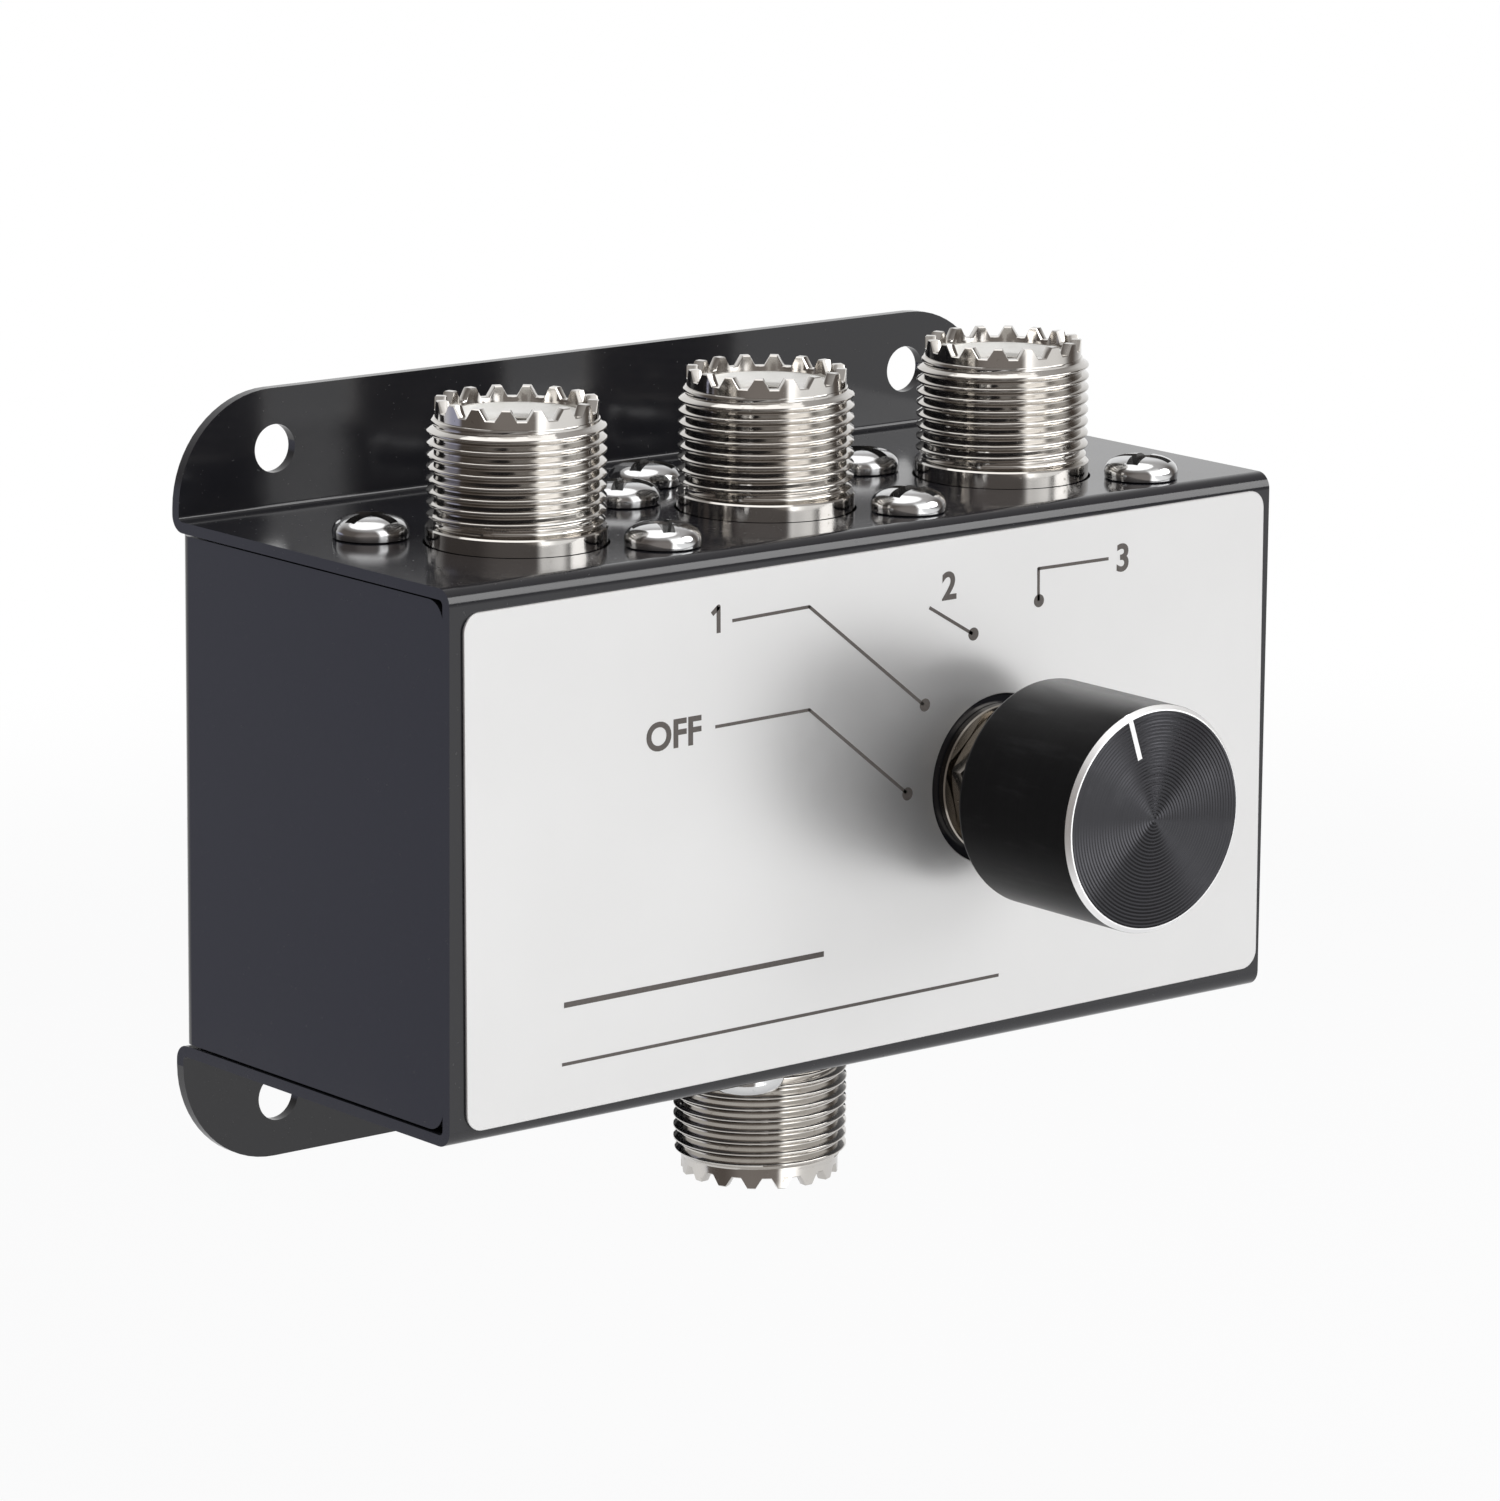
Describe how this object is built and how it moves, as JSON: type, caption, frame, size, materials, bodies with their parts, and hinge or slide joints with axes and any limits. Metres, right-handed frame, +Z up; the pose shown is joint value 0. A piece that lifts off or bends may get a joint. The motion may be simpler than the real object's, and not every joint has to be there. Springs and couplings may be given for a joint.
{
  "type": "coaxial antenna switch",
  "caption": "Sheet-metal coaxial antenna switch with a threaded input socket below, output sockets above and a rotary selector knob in front, made to screw to a wall.",
  "frame": {"origin": "centre of the four wall holes, on the rear face of the flanges", "axes": "+X to the right seen from the front, along the housing's width; +Y to the rear, into the wall; +Z up, out of the output sockets"},
  "size_m": [0.095, 0.0623, 0.0746],
  "materials": {
    "black_paint": "gloss enamel",
    "label_print": "satin print",
    "nickel_plate": "nickel plated, bright",
    "white_insulator": "satin",
    "silver_plate": "silver plated",
    "screw_steel": "zinc plated, bright",
    "cast_alloy": "as cast, plated",
    "spacer_brass": "turned",
    "wafer_laminate": "laminate",
    "rotor_plastic": "moulded",
    "dark_steel": "blackened",
    "shaft_steel": "turned",
    "knob_anodised": "black anodised, brushed",
    "knob_plastic": "moulded",
    "tinned_wire": "tinned"
  },
  "bodies": {
    "housing": {"chassis": "black_paint", "rear_cover": "black_paint", "front_label": "label_print", "shell_in": "nickel_plate", "shell_out1": "nickel_plate", "shell_out2": "nickel_plate", "shell_out3": "nickel_plate", "insulator_in": "white_insulator", "insulator_out1": "white_insulator", "insulator_out2": "white_insulator", "insulator_out3": "white_insulator", "contact_in": "silver_plate", "contact_out1": "silver_plate", "contact_out2": "silver_plate", "contact_out3": "silver_plate", "socket_screws": "screw_steel", "socket_nuts": "screw_steel", "cover_screws": "screw_steel", "switch_frame": "cast_alloy", "switch_washer": "nickel_plate", "switch_nut": "nickel_plate", "frame_spacers": "spacer_brass", "frame_screws": "screw_steel", "stator_wafer": "wafer_laminate", "stator_contacts": "silver_plate", "wire_in": "tinned_wire", "wire_out1": "tinned_wire", "wire_out2": "tinned_wire", "wire_out3": "tinned_wire"},
    "selector": {"rotor_disc": "rotor_plastic", "rotor_blade": "silver_plate", "detent_carrier": "dark_steel", "detent_balls": "shaft_steel", "detent_spring": "spacer_brass", "switch_shaft": "shaft_steel", "shaft_clip": "dark_steel", "knob_shell": "knob_anodised", "knob_core": "knob_plastic"}
  },
  "joints": [
    {"name": "selector_turn", "type": "hinge", "parent": "housing", "child": "selector", "pos_m": [0.0144, -0.041, 0], "axis": [0, 1, 0], "range_deg": [-60, 30]}
  ]
}
